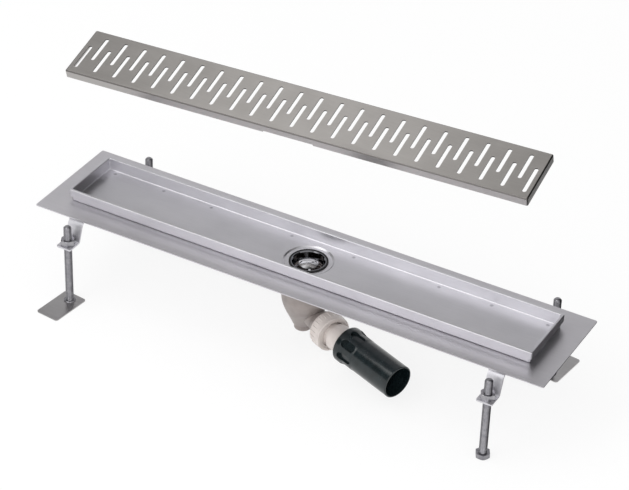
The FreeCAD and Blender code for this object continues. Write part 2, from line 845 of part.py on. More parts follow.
LEAF_TOP = "flange_level - flange_sheet - strap_drop"


def hexagon(sketch, across_flats):
    corners = []
    for number in range(6):
        turn = 60 * number
        corners.append((f"{across_flats} / sqrt(3) * cos({turn})", f"{across_flats} / sqrt(3) * sin({turn})"))
    outline(sketch, corners)


def ease_hex_corners(body, across_flats, height, upward):
    """Turns the corners of a hexagon off at one of its ends."""
    profile = new_sketch(body, "CornerCut" + ("Top" if upward else "Bottom"), "XZ_Plane")
    sign = "-" if upward else "+"
    outer = f"{across_flats} / sqrt(3) + 1"
    fall = f"({outer} - {across_flats} / 2) * tan(hex_chamfer_angle)"
    outline(profile, [
        (f"{across_flats} / 2", height),
        (outer, height),
        (outer, f"{height} {sign} {fall}"),
    ])
    bored(body, profile)


def make_strap(label, along, turn):
    """A bent strap that hangs from the flange and holds the rod in its level end."""
    body = new_body(label, along, 0, "flange_level - flange_sheet", turn)
    tail = f"{FLANGE_SIDE} - strap_hold"
    bend = f"{FLANGE_SIDE} - strap_bend_inset"
    foot = f"{bend} + strap_run"
    tip = f"{LEG_ACROSS} + strap_end_beyond_rod"
    shift = "strap_sheet * (sqrt(strap_run ^ 2 + strap_drop ^ 2) - strap_run) / strap_drop"
    profile = new_sketch(body, "Profile", "YZ_Plane")
    outline(profile, [
        (tail, 0),
        (bend, 0),
        (foot, "-strap_drop"),
        (tip, "-strap_drop"),
        (tip, "-strap_drop - strap_sheet"),
        (f"{foot} - {shift}", "-strap_drop - strap_sheet"),
        (f"{bend} - {shift}", "-strap_sheet"),
        (tail, "-strap_sheet"),
    ])
    piece = pad(body, profile, "strap_width", both=True)
    sheet_depth, drop = value("strap_sheet"), value("strap_drop")
    start, end = value(tail), value(tip)
    folds = (
        (0, "strap_bend_radius"),
        (-sheet_depth, "strap_bend_radius - strap_sheet"),
        (-drop - sheet_depth, "strap_foot_radius + strap_sheet"),
        (-drop, "strap_foot_radius"),
    )
    for height, radius in folds:

        def at_fold(edge):
            return level_at(edge, height) and start + 1 < edge.BoundBox.YMin == edge.BoundBox.YMax < end - 1

        piece = rounded(body, piece, at_fold, radius)
    rounded(body, piece, lambda edge: is_upright(edge) and is_off_axis(edge, end), "strap_corner_radius")
    hole = new_sketch(body, "RodHole", lift="-strap_drop")
    circle(hole, "rod_hole_radius", 0, LEG_ACROSS)
    pocket(body, hole, "2 * strap_sheet")


def make_leg_nut(label, along, across):
    body = new_body(label, along, across, LEAF_TOP)
    profile = new_sketch(body, "Hexagon")
    hexagon(profile, "nut_across_flats")
    circle(profile, "rod_radius")
    pad(body, profile, "nut_height")
    ease_hex_corners(body, "nut_across_flats", "nut_height", upward=True)
    ease_hex_corners(body, "nut_across_flats", "0", upward=False)


def make_leg_washer(label, along, across):
    top = "-strap_drop - strap_sheet"
    turned_piece(label, [
        ("rod_radius", f"{top} - washer_height"),
        ("washer_radius - washer_height / 3", f"{top} - washer_height"),
        ("washer_radius", f"{top} - washer_height * 2 / 3"),
        ("washer_radius", top),
        ("rod_radius", top),
    ], along, across, "flange_level - flange_sheet")


def rod_profile(foot):
    """Half the outline of a round rod that stands on foot and ends below the flange, with a blunt tip."""
    top = "flange_level - rod_top_below_flange"
    return [
        (0, foot),
        ("rod_radius", foot),
        ("rod_radius", f"{top} - rod_tip_chamfer"),
        ("rod_radius - rod_tip_chamfer", top),
        (0, top),
    ]


def make_bolt(label, along, across):
    """A levelling bolt that stands on its hexagon head."""
    body = turned_piece(label, rod_profile("head_height"), along, across, "0")
    head = new_sketch(body, "Head")
    hexagon(head, "head_across_flats")
    pad(body, head, "head_height")
    ease_hex_corners(body, "head_across_flats", "0", upward=False)


def make_stud_and_foot(corner, along, across, turn):
    """A threaded stud on a flat foot plate that reaches outwards."""
    turned_piece("leg_stud_" + corner, rod_profile("foot_plate_sheet"), along, across, "0")
    turned_piece("foot_collar_" + corner, [
        ("rod_radius", "foot_plate_sheet"),
        ("foot_collar_radius", "foot_plate_sheet"),
        ("foot_collar_radius", "foot_plate_sheet + foot_collar_height / 2"),
        ("foot_collar_radius - foot_collar_height / 2", "foot_plate_sheet + foot_collar_height"),
        ("rod_radius", "foot_plate_sheet + foot_collar_height"),
    ], along, across, "0")
    body = new_body("foot_plate_" + corner, along, across, "0", f"{turn} + foot_plate_turn")
    plate = new_sketch(body, "Plate")
    outer = "foot_plate_length - foot_plate_inner"
    rectangle(plate, "-foot_plate_width / 2", "foot_plate_width / 2", "-foot_plate_inner", outer)
    flat = pad(body, plate, "foot_plate_sheet")
    rounded(body, flat, is_upright, "foot_plate_corner_radius")


def make_legs():
    """Four legs: foot plates stand front left and back right, bolt heads on the other diagonal."""
    for depth_name, across, turn in (("front", "-" + LEG_ACROSS, 180), ("back", LEG_ACROSS, 0)):
        for side_name, along in (("left", "-" + LEG_ALONG), ("right", LEG_ALONG)):
            corner = f"{depth_name}_{side_name}"
            make_strap("leg_strap_" + corner, along, turn)
            make_leg_nut("leg_nut_" + corner, along, across)
            make_leg_washer("leg_washer_" + corner, along, across)
            if corner in ("front_left", "back_right"):
                make_stud_and_foot(corner, along, across, turn)
            else:
                make_bolt("leg_bolt_" + corner, along, across)


# Cover


def make_cover():
    """The slotted cover, folded down all round, with the middle of its top at the body's origin."""
    lift = "flange_level + cover_lift"
    body = new_body("cover", "cover_along", "cover_back", lift, "cover_turn", "cover_lean", "cover_tilt")
    length = f"({INNER_LENGTH} - 2 * cover_gap)"
    width = f"({INNER_WIDTH} - 2 * cover_gap)"
    slots = f"(floor(({length} - 2 * slot_margin) / slot_pitch) + 1)"
    block = new_sketch(body, "Block")
    centred_rectangle(block, length, width)
    folded = pad(body, block, "cover_height", down=True)
    corners = rounded(body, folded, is_upright, "cover_corner_radius")
    rounded(body, corners, lambda edge: level_at(edge, 0), "cover_edge_radius")
    hollow = new_sketch(body, "Hollow", lift="-cover_height")
    centred_rectangle(hollow, f"{length} - 2 * cover_sheet", f"{width} - 2 * cover_sheet")
    pocket(body, hollow, "cover_height - cover_sheet", up=True)
    notch = new_sketch(body, "Notch", "XZ_Plane")
    rectangle(notch, "-notch_width / 2", "notch_width / 2", "-cover_height - 1", "-cover_height + notch_height")
    pocket(body, notch, "channel_width", both=True)
    rows = (("Front", slots, "-slot_row_offset"), ("Back", f"({slots} - 1)", "slot_row_offset"))
    for row, count, across in rows:
        slot = new_sketch(body, row + "Slot")
        obround(slot, "slot_width", "slot_length", f"-slot_pitch * ({count} - 1) / 2", across)
        first = pocket(body, slot, "2 * cover_sheet")
        repeated(body, first, (slot, ["H_Axis"]), count, f"slot_pitch * ({count} - 1)")


make_channel_tray()
make_sealing_flange()
make_waste()
make_strainer()
make_trap_body()
make_trap_plug()
make_union_nut()
make_swivel_seal()
make_swivel_pipe()
make_spigot_adapter()
make_adapter_seal()
make_legs()
make_cover()
doc.recompute()


# Checks, then one STEP file for each piece


def check_features():
    """Stops if a feature failed, or if a cut took nothing away."""
    cuts = ("PartDesign::Pocket", "PartDesign::Groove", "PartDesign::SubtractiveLoft")
    for item in doc.Objects:
        if {"Invalid", "Error"} & set(item.State):
            raise RuntimeError(f"{item.Label} is {item.State}")
        if item.TypeId in cuts and item.Shape.Volume > item.BaseFeature.Shape.Volume - 0.1:
            raise RuntimeError(f"{item.Label} cuts nothing")


def write_pieces():
    os.makedirs("parts", exist_ok=True)
    for body in doc.findObjects("PartDesign::Body"):
        if body.Shape.isNull() or not body.Shape.isValid() or len(body.Shape.Solids) != 1:
            raise RuntimeError(f"{body.Label} is not one valid solid")
        body.Shape.exportStep(f"parts/{body.Label}.step")
        print(f"{body.Label}: {body.Shape.Volume / 1000:.2f} cm3")


check_features()
write_pieces()
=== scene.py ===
# %% [markdown]
# # A linear shower drain
#
# The drain is a long folded channel of stainless steel on a thin sealing flange. Its slotted cover is
# lifted off and floats above it, so that the channel, the chromed waste and the trap below all show.
# The solids come from the CAD model. This notebook gives them their finishes, cuts the threads of the
# legs, and sets up the light and the camera. Everything is in metres, with +Z up and the floor at zero.

# %% Load the frame
import math
import bmesh
import bpy
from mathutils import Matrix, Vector


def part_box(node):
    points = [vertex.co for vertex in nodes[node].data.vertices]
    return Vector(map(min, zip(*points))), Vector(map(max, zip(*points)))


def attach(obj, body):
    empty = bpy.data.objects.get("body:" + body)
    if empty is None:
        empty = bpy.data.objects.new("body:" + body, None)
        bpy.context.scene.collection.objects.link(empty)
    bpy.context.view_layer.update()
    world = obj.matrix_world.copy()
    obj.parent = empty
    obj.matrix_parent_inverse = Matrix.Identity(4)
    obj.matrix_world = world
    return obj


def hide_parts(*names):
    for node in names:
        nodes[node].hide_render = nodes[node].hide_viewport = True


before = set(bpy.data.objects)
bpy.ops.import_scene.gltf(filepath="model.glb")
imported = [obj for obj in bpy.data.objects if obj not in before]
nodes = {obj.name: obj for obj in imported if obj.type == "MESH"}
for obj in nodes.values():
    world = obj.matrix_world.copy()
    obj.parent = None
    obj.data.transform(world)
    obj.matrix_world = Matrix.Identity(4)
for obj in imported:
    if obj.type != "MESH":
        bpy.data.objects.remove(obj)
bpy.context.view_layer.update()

MM = 0.001

# %% [markdown]
# ## Colours, nodes and places
#
# A colour that a person reads off a screen is in sRGB, and the renderer works in linear light. One
# function turns a hex code from the first into the second. A second function adds a node to a tree,
# sets its options and joins its inputs, so that a material reads as a short list of nodes. A third
# gives a pattern the point on the piece in millimetres, so that its scale is a real size.

# %% Helpers for every material


def linear(code):
    """The linear colour of an sRGB hex code such as #B2B0AE."""
    shares = [int(code[place:place + 2], 16) / 255 for place in (1, 3, 5)]
    return tuple(s / 12.92 if s <= 0.04045 else ((s + 0.055) / 1.055) ** 2.4 for s in shares) + (1.0,)


def add(tree, kind, inputs=None, **settings):
    """Adds a node.

    inputs maps an input's name or number to a value, to another node's output, or to another node, which
    stands for its first output. settings are the node's own options.
    """
    made = tree.nodes.new(kind)
    for name, value in settings.items():
        setattr(made, name, value)
    for name, value in (inputs or {}).items():
        if isinstance(value, bpy.types.Node):
            value = value.outputs[0]
        if isinstance(value, bpy.types.NodeSocket):
            tree.links.new(value, made.inputs[name])
        else:
            made.inputs[name].default_value = value
    return made


def new_material(name, **shader_inputs):
    """A material with one principled shader. Returns the material, its tree and the shader."""
    material = bpy.data.materials.new(name)
    material.use_nodes = True
    tree = material.node_tree
    shader = tree.nodes["Principled BSDF"]
    for socket, value in shader_inputs.items():
        shader.inputs[socket.replace("_", " ")].default_value = value
    return material, tree, shader


def millimetres(tree, stretch=(1, 1, 1)):
    """The point on the piece in millimetres, divided by stretch along each axis."""
    point = add(tree, "ShaderNodeTexCoord").outputs["Object"]
    scale = [1 / (share * MM) for share in stretch]
    return add(tree, "ShaderNodeMapping", {"Vector": point, "Scale": scale})


print("a mid grey, #808080, is", round(linear("#808080")[0], 3), "in linear light")

# %% [markdown]
# ## Stainless steel sheet
#
# The channel, the flange and the cover are folded from 1.5 mm sheet of 304 stainless steel. The channel
# and the cover are ground with a belt, and its grit leaves fine parallel scratches a few hundredths of a
# millimetre apart. The flange keeps the smoother skin of the rolling mill. The eye sees a soft grey
# metal whose highlights are drawn out along the sheet. Such scratches are too fine for the picture, so
# they are drawn about two millimetres wide and tens of millimetres long. They vary the roughness and
# tip the surface a little. A slow cloud changes the colour by a shade. Thin sheet is also never quite
# flat: it swells by a tenth or two of a millimetre every hundred millimetres or so, which bends what it
# reflects into broad light and dark bands.

# %% Stainless steel

CLOUD_SIZE = (70, 40, 40)
CLOUD_SHARE = 0.65
SWELL_SIZE = (150, 60, 60)
SCRATCH_DEPTH = 0.02


def sheet_steel(name, light, dark, rough, grain, spread, tip, swell):
    """Ground or rolled sheet.

    grain is the size of a scratch and swell the depth of the waves, both in mm. spread is how far the
    scratches vary the roughness, and tip how strongly they tip the surface.
    """
    material, tree, shader = new_material(name, Metallic=1.0)
    scratch = add(tree, "ShaderNodeTexNoise", {
        "Vector": millimetres(tree, grain), "Scale": 1.0, "Detail": 3.0, "Roughness": 0.6,
    })
    cloud = add(tree, "ShaderNodeTexNoise", {
        "Vector": millimetres(tree, CLOUD_SIZE), "Scale": 1.0, "Detail": 3.0,
    })
    both = add(tree, "ShaderNodeMath", {0: scratch, 1: 1 - CLOUD_SHARE}, operation="MULTIPLY")
    both = add(tree, "ShaderNodeMath", {0: cloud, 1: CLOUD_SHARE, 2: both}, operation="MULTIPLY_ADD")
    share = add(tree, "ShaderNodeMapRange", {"Value": both, "From Min": 0.3, "From Max": 0.7})
    colour = add(tree, "ShaderNodeMix", {0: share, 6: linear(dark), 7: linear(light)}, data_type="RGBA")
    tree.links.new(colour.outputs[2], shader.inputs["Base Color"])
    roughness = add(tree, "ShaderNodeMapRange", {
        "Value": scratch, "To Min": rough - spread / 2, "To Max": rough + spread / 2,
    })
    tree.links.new(roughness.outputs[0], shader.inputs["Roughness"])
    wave = add(tree, "ShaderNodeTexNoise", {
        "Vector": millimetres(tree, SWELL_SIZE), "Scale": 1.0, "Detail": 0.0,
    })
    waved = add(tree, "ShaderNodeBump", {"Height": wave, "Strength": 1.0, "Distance": swell * MM})
    fine = add(tree, "ShaderNodeBump", {
        "Height": scratch, "Strength": tip, "Distance": SCRATCH_DEPTH * MM, "Normal": waved,
    })
    tree.links.new(fine.outputs["Normal"], shader.inputs["Normal"])
    print(name, "from", dark, "to", light)
    return material


steel_channel = sheet_steel(
    "304 stainless channel, belt ground", "#D7D6DA", "#CAC9CD", 0.34, (60, 1.6, 1.6), 0.08, 0.3, 0.5
)
steel_flange = sheet_steel(
    "304 stainless flange, mill finish", "#D8D6DA", "#CCCACE", 0.42, (90, 4, 4), 0.08, 0.2, 0.8
)
steel_cover = sheet_steel(
    "304 stainless cover, fine ground", "#C8C4C1", "#B8B4B1", 0.30, (60, 1.4, 1.4), 0.08, 0.3, 0.5
)
steel_plate = sheet_steel(
    "304 stainless foot plate, mill finish", "#B4B2B2", "#A3A1A1", 0.30, (25, 4, 4), 0.06, 0.2, 0.4
)

# %% [markdown]
# ## Weld marks, cut edges and painted shade
#
# Two traces of the making show on the sheet, and painted shade is laid on the cover. The flange is spot
# welded to the channel from below, and each weld leaves a small dent with a grey bloom of heat on the
# floor of the channel. The marks lie in two rows, the same on all four quarters, so the point is folded
# onto one quarter and the distance to the nearest mark is taken. The slots are cut by laser, which
# leaves their narrow walls a little darker, and they are painted nearly black on top of that as painted
# shade inside the slots. The sides of the cover are painted darker as painted shade, and its bends
# darker still, as a painted shade line along each fold. The cover is tilted, so its point and its
# direction are turned back first. What faces neither up nor sideways is a bend, and what lies inside
# the field of slots and doesn't face up or down is a cut wall.

# %% Weld marks, cut edges and painted shade

# The weld marks in mm from the middle of the channel: along it, across it, and from core to faint edge.
WELD_PLACES = (51, 187.5, 270, 356)
WELD_ROW = 40.3
WELD_CORE, WELD_EDGE = 1.2, 3.4
WELD_TINT = 0.6
FAR_AWAY = 1000.0
# Where the cover's middle is and how it is turned, as in the CAD model.
COVER_PLACE = Vector((0.26, 0.218, 0.3))
COVER_TURN = [math.radians(turn) for turn in (14, -1.1, 2.6)]
# Half the length and half the width of the field of slots, and how little a cut wall faces up.
SLOT_FIELD = (366, 44, 0.5)
# How much a bend faces up: from nearly sideways to nearly up.
BEND_LEAN = (0.12, 0.985)


def tint(material, mask, code):
    """Lays a colour over the base colour where mask is one."""
    shader = material.node_tree.nodes["Principled BSDF"]
    below = shader.inputs["Base Color"].links[0].from_socket
    over = add(material.node_tree, "ShaderNodeMix", {0: mask, 6: below, 7: linear(code)}, data_type="RGBA")
    material.node_tree.links.new(over.outputs[2], shader.inputs["Base Color"])
    print(material.name, "is tinted", code)


def weld_mask(tree, piece):
    """One on the weld marks of a piece that is the same on all four quarters, and nought elsewhere."""
    low, high = (Vector(corner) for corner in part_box(piece))
    middle = (low + high) / 2 / MM
    centred = add(tree, "ShaderNodeVectorMath", {0: millimetres(tree), 1: middle}, operation="SUBTRACT")
    quarter = add(tree, "ShaderNodeVectorMath", {0: centred}, operation="ABSOLUTE")
    flat = add(tree, "ShaderNodeVectorMath", {0: quarter, 1: (1, 1, 0)}, operation="MULTIPLY")
    nearest = FAR_AWAY
    for along in WELD_PLACES:
        gap = add(tree, "ShaderNodeVectorMath", {0: flat, 1: (along, WELD_ROW, 0)}, operation="DISTANCE")
        nearest = add(tree, "ShaderNodeMath", {0: gap.outputs["Value"], 1: nearest}, operation="MINIMUM")
    return add(tree, "ShaderNodeMapRange", {
        "Value": nearest, "From Min": WELD_CORE, "From Max": WELD_EDGE, "To Min": WELD_TINT, "To Max": 0.0,
    })


def flat_lean(tree):
    """How far the cover's surface faces along each axis of the cover when it lies flat."""
    facing = add(tree, "ShaderNodeNewGeometry").outputs["True Normal"]
    flat_facing = add(tree, "ShaderNodeMapping", {
        "Vector": facing, "Rotation": COVER_TURN,
    }, vector_type="TEXTURE")
    return add(tree, "ShaderNodeSeparateXYZ", {0: flat_facing}).outputs


def bend_shade_mask(tree):
    """One on the bends of the cover, where a painted shade line goes, and nought elsewhere."""
    least, most = BEND_LEAN
    return add(tree, "ShaderNodeMath", {
        0: flat_lean(tree)["Z"], 1: (least + most) / 2, 2: (most - least) / 2,
    }, operation="COMPARE")


def side_shade_mask(tree):
    """One on the sides and the underside of the cover, where painted shade goes, and nought elsewhere."""
    return add(tree, "ShaderNodeMath", {0: flat_lean(tree)["Z"], 1: BEND_LEAN[0]}, operation="LESS_THAN")


def cut_edge_and_shade_mask(tree):
    """One on the slot walls: the laser's darker edge with painted shade over it. Nought elsewhere."""
    point = add(tree, "ShaderNodeTexCoord").outputs["Object"]
    flat_point = add(tree, "ShaderNodeMapping", {
        "Vector": point, "Location": COVER_PLACE, "Rotation": COVER_TURN, "Scale": (MM, MM, MM),
    }, vector_type="TEXTURE")
    place = add(tree, "ShaderNodeSeparateXYZ", {0: flat_point}).outputs
    mask = 1.0
    for value, limit in zip((place["X"], place["Y"], flat_lean(tree)["Z"]), SLOT_FIELD):
        size = add(tree, "ShaderNodeMath", {0: value}, operation="ABSOLUTE")
        inside = add(tree, "ShaderNodeMath", {0: size, 1: limit}, operation="LESS_THAN")
        mask = add(tree, "ShaderNodeMath", {0: inside, 1: mask}, operation="MULTIPLY")
    return mask


tint(steel_channel, weld_mask(steel_channel.node_tree, "channel_tray"), "#88868C")
# Painted shade: the cover's sides and underside are darker.
tint(steel_cover, side_shade_mask(steel_cover.node_tree), "#AEABA9")
# Painted shade: a dark line along each bend of the cover.
tint(steel_cover, bend_shade_mask(steel_cover.node_tree), "#6E6B69")
# The laser's darker edge, made nearly black as painted shade inside the slots.
tint(steel_cover, cut_edge_and_shade_mask(steel_cover.node_tree), "#1A1918")

# %% [markdown]
# ## Bright zinc plate
#
# Nuts, washers, rods and straps are carbon steel with a few thousandths of a millimetre of bright zinc,
# passivated blue. To the eye that is a smooth, slightly cloudy, cool grey metal. Its clouds are a few
# millimetres across. They change the colour by a shade and the gloss a little. The rods' zinc is set
# darker as painted shade, and the foot collars take it too, which dulls their glint, while the straps'
# zinc is set lighter as painted light from the white paper below.

# %% Zinc plated steel

ZINC_CLOUD = 6
GLOSS_SPREAD = 0.05


def zinc_plate(name, light, dark, rough):
    """Bright zinc plate that clouds between two colours around one roughness."""
    material, tree, shader = new_material(name, Metallic=1.0)
    film = add(tree, "ShaderNodeTexNoise", {
        "Vector": millimetres(tree, (ZINC_CLOUD,) * 3), "Scale": 1.0, "Detail": 3.0,
    })
    share = add(tree, "ShaderNodeMapRange", {"Value": film, "From Min": 0.3, "From Max": 0.7})
    colour = add(tree, "ShaderNodeMix", {0: share, 6: linear(dark), 7: linear(light)}, data_type="RGBA")
    tree.links.new(colour.outputs[2], shader.inputs["Base Color"])
    roughness = add(tree, "ShaderNodeMapRange", {
        "Value": film, "To Min": rough - GLOSS_SPREAD, "To Max": rough + GLOSS_SPREAD,
    })
    tree.links.new(roughness.outputs[0], shader.inputs["Roughness"])
    skin = add(tree, "ShaderNodeBump", {"Height": film, "Strength": 0.2, "Distance": 0.05 * MM})
    tree.links.new(skin.outputs["Normal"], shader.inputs["Normal"])
    print(name, "from", dark, "to", light)
    return material


# The rods' darker tone is painted shade.
zinc_rod_painted_shade = zinc_plate("bright zinc plated steel rod, painted shade", "#A09FA3", "#858489", 0.36)
zinc_fixing = zinc_plate("bright zinc plated nut and washer", "#ACABAE", "#96959A", 0.22)
# The straps' lighter tone is painted light from the white paper below.
zinc_strap_painted_light = zinc_plate("bright zinc plated strap, painted light", "#DEDDE1", "#CECDD2", 0.50)

# %% [markdown]
# ## Polished chrome
#
# The strainer is pressed from steel, polished, and plated with nickel and chrome. Chrome is nearly a
# mirror with a cool tint, so it shows the bright room and the dark hollow of the cup side by side. The
# cup is polished steel without the plating, and its colour is set far darker than steel as painted
# shade of the hollow. A faint haze, as hard water leaves it, keeps both from looking like glass. Its
# patches are about two millimetres across.

# %% Chrome

HAZE_SIZE = 2
HAZE = (0.05, 0.12)


def polished(name, code):
    """A mirror with a haze that varies its roughness."""
    material, tree, shader = new_material(name, Metallic=1.0, Base_Color=linear(code))
    haze = add(tree, "ShaderNodeTexNoise", {
        "Vector": millimetres(tree, (HAZE_SIZE,) * 3), "Scale": 1.0, "Detail": 3.0,
    })
    hazy = add(tree, "ShaderNodeMapRange", {"Value": haze, "To Min": HAZE[0], "To Max": HAZE[1]})
    tree.links.new(hazy.outputs[0], shader.inputs["Roughness"])
    print(name, "in", code)
    return material


chrome = polished("polished chrome plate", "#CFCFD2")
# The cup's dark colour is painted shade of the hollow that it lines.
cup_steel_painted_shade = polished("polished steel cup, painted shade", "#727276")

# %% [markdown]
# ## Moulded plastics and rubber
#
# The trap and its ball joint are injection moulded polypropylene, a warm grey with a satin skin. The
# ball joint is paler than the trap, partly a paler plastic and partly painted light. The push-fit
# adapter is moulded black polypropylene with a glossy skin and a trace of green. The seals are black
# EPDM rubber. A moulded skin is never quite even: sink marks a centimetre or two across bend the
# highlights, and a grain of under a millimetre scatters them.

# %% Plastics and rubber

SINK_SIZE = 14
GRAIN_DEPTH = 0.04


def moulded(name, light, dark, rough, sink=0.3, tip=0.12, grain=0.8, **shader_inputs):
    """A moulded skin. sink is the depth of its sink marks in mm, and grain the size of its grain."""
    material, tree, shader = new_material(name, **shader_inputs)
    sinks = add(tree, "ShaderNodeTexNoise", {
        "Vector": millimetres(tree, (SINK_SIZE,) * 3), "Scale": 1.0, "Detail": 1.0,
    })
    grains = add(tree, "ShaderNodeTexNoise", {
        "Vector": millimetres(tree, (grain,) * 3), "Scale": 1.0, "Detail": 2.0,
    })
    share = add(tree, "ShaderNodeMapRange", {"Value": sinks, "From Min": 0.3, "From Max": 0.7})
    colour = add(tree, "ShaderNodeMix", {0: share, 6: linear(dark), 7: linear(light)}, data_type="RGBA")
    tree.links.new(colour.outputs[2], shader.inputs["Base Color"])
    roughness = add(tree, "ShaderNodeMapRange", {
        "Value": grains, "To Min": rough - GLOSS_SPREAD, "To Max": rough + GLOSS_SPREAD,
    })
    tree.links.new(roughness.outputs[0], shader.inputs["Roughness"])
    coarse = add(tree, "ShaderNodeBump", {"Height": sinks, "Strength": 1.0, "Distance": sink * MM})
    fine = add(tree, "ShaderNodeBump", {
        "Height": grains, "Strength": tip, "Distance": GRAIN_DEPTH * MM, "Normal": coarse,
    })
    tree.links.new(fine.outputs["Normal"], shader.inputs["Normal"])
    print(name, "from", dark, "to", light)
    return material


trap_plastic = moulded("moulded grey polypropylene, satin", "#9A918D", "#8F8683", 0.40)
# The joint's paler tone is partly its own plastic and partly painted light.
joint_plastic_painted_light = moulded("moulded pale grey polypropylene, satin, painted light", "#DCD4CF", "#D2C9C4", 0.36)
adapter_plastic = moulded(
    "moulded black polypropylene, gloss", "#1B2528", "#11191B", 0.20, sink=0.15, tip=0.05
)
seal_rubber = moulded("black EPDM rubber", "#1C1B1B", "#121111", 0.55, grain=0.5)

# %% [markdown]
# ## Dressing the solids
#
# Each CAD node already has the right shape, so it only takes a material. A name's first letters say
# which family it belongs to.

# %% Give the nodes their materials

FINISHES = {
    "channel_tray": steel_channel,
    "sealing_flange": steel_flange,
    "cover": steel_cover,
    "foot_plate": steel_plate,
    "waste_cup": cup_steel_painted_shade,
    "strainer": chrome,
    "rim_seal": seal_rubber,
    "body_seal": seal_rubber,
    "dip_seal": seal_rubber,
    "swivel_seal": seal_rubber,
    "adapter_seal": seal_rubber,
    "dip_tube": trap_plastic,
    "trap_body": trap_plastic,
    "trap_plug": trap_plastic,
    "union_nut": joint_plastic_painted_light,
    "swivel_pipe": joint_plastic_painted_light,
    "spigot_adapter": adapter_plastic,
    "leg_strap": zinc_strap_painted_light,
    "leg_nut": zinc_fixing,
    "leg_washer": zinc_fixing,
    # The foot collar takes the rods' darker tone as painted shade, which dulls its glint.
    "foot_collar": zinc_rod_painted_shade,
    "leg_stud": zinc_rod_painted_shade,
    "leg_bolt": zinc_rod_painted_shade,
}
for name, piece in nodes.items():
    family = next(start for start in FINISHES if name.startswith(start))
    piece.data.materials.clear()
    piece.data.materials.append(FINISHES[family])
print("dressed", len(nodes), "nodes with", len(set(FINISHES.values())), "materials")

# %% [markdown]
# ## The thread as a rule
#
# A levelling leg is an M12 rod with a rolled thread: a ridge that climbs 1.75 mm in each turn, from a
# root of about 5.2 mm radius to a crest of nearly 6 mm. Its shape follows one rule, so Geometry Nodes
# make it. The tree starts from a plain closed cylinder with many rings. Each point keeps its angle and
# its height, and gets a new radius: the height in pitches, less the angle in turns, says how far the
# point is between two ridges. A triangle wave of that, cut flat at the root and at the crest, is the
# thread. Near the free end the radius isn't larger than a cone allows, which gives the rod its blunt
# tip.

# %% Geometry Nodes tree for a threaded rod

ROOT_END, CREST_START = 0.06, 0.44


def threaded_rod_tree():
    """Builds the tree. Returns it with the identifiers of its inputs."""
    tree = bpy.data.node_groups.new("Threaded rod", "GeometryNodeTree")
    kinds = {
        "Foot": "Vector", "Length": "Float", "Pitch": "Float",
        "Root radius": "Float", "Crest radius": "Float", "Tip radius": "Float",
        "Points round": "Int", "Rings per turn": "Int", "Finish": "Material",
    }
    outside = tree.interface
    sockets = {
        name: outside.new_socket(name, in_out="INPUT", socket_type="NodeSocket" + kind).identifier
        for name, kind in kinds.items()
    }
    outside.new_socket("Rod", in_out="OUTPUT", socket_type="NodeSocketGeometry")
    given = add(tree, "NodeGroupInput").outputs
    turns = add(tree, "ShaderNodeMath", {0: given["Length"], 1: given["Pitch"]}, operation="DIVIDE")
    rings = add(tree, "ShaderNodeMath", {0: turns, 1: given["Rings per turn"]}, operation="MULTIPLY")
    core = add(tree, "GeometryNodeMeshCylinder", {
        "Vertices": given["Points round"], "Side Segments": rings,
        "Radius": given["Crest radius"], "Depth": given["Length"],
    })
    point = add(tree, "ShaderNodeSeparateXYZ", {0: add(tree, "GeometryNodeInputPosition")})
    angle = add(tree, "ShaderNodeMath", {0: point.outputs["Y"], 1: point.outputs["X"]}, operation="ARCTAN2")
    part_turn = add(tree, "ShaderNodeMath", {0: angle, 1: 2 * math.pi}, operation="DIVIDE")
    climbed = add(tree, "ShaderNodeMath", {0: point.outputs["Z"], 1: given["Pitch"]}, operation="DIVIDE")
    phase = add(tree, "ShaderNodeMath", {0: climbed, 1: part_turn}, operation="SUBTRACT")
    flank = add(tree, "ShaderNodeMath", {0: phase, 1: 0.5}, operation="PINGPONG")
    wave = add(tree, "ShaderNodeMapRange", {
        "Value": flank, "From Min": ROOT_END, "From Max": CREST_START,
        "To Min": given["Root radius"], "To Max": given["Crest radius"],
    })
    reach = add(tree, "ShaderNodeMath", {
        0: given["Length"], 1: 0.5, 2: given["Tip radius"],
    }, operation="MULTIPLY_ADD")
    cone = add(tree, "ShaderNodeMath", {0: reach, 1: point.outputs["Z"]}, operation="SUBTRACT")
    radius = add(tree, "ShaderNodeMath", {0: wave, 1: cone}, operation="MINIMUM")
    flat = add(tree, "ShaderNodeCombineXYZ", {"X": point.outputs["X"], "Y": point.outputs["Y"]})
    outward = add(tree, "ShaderNodeVectorMath", {0: flat}, operation="NORMALIZE")
    ring = add(tree, "ShaderNodeVectorMath", {0: outward, "Scale": radius}, operation="SCALE")
    height = add(tree, "ShaderNodeCombineXYZ", {"Z": point.outputs["Z"]})
    place = add(tree, "ShaderNodeVectorMath", {0: ring, 1: height}, operation="ADD")
    cut = add(tree, "GeometryNodeSetPosition", {"Geometry": core.outputs["Mesh"], "Position": place})
    half = add(tree, "ShaderNodeMath", {0: given["Length"], 1: 0.5}, operation="MULTIPLY")
    lift = add(tree, "ShaderNodeVectorMath", {
        0: given["Foot"], 1: add(tree, "ShaderNodeCombineXYZ", {"Z": half}),
    }, operation="ADD")
    stood = add(tree, "GeometryNodeTransform", {"Geometry": cut, "Translation": lift})
    real = add(tree, "GeometryNodeRealizeInstances", {"Geometry": stood})
    finished = add(tree, "GeometryNodeSetMaterial", {"Geometry": real, "Material": given["Finish"]})
    add(tree, "NodeGroupOutput", {"Rod": finished})
    return tree, sockets


rod_tree, rod_sockets = threaded_rod_tree()
print("threaded rod tree with", len(rod_tree.nodes), "nodes")

# %% [markdown]
# ## Standing a threaded rod in its place
#
# The CAD rod is a plain cylinder, and its box says where the real one stands and how long it is. The
# tree runs once for each rod on an empty mesh. Its result is turned into a plain mesh, and the modifier
# goes before the rod is handed to the frame. A bolt also needs its hexagon head, which is copied from
# the CAD node. The copy's loose triangles are merged first, all that lies above the head is deleted,
# and the ring that is left open gets a face.

# %% Make the four rods

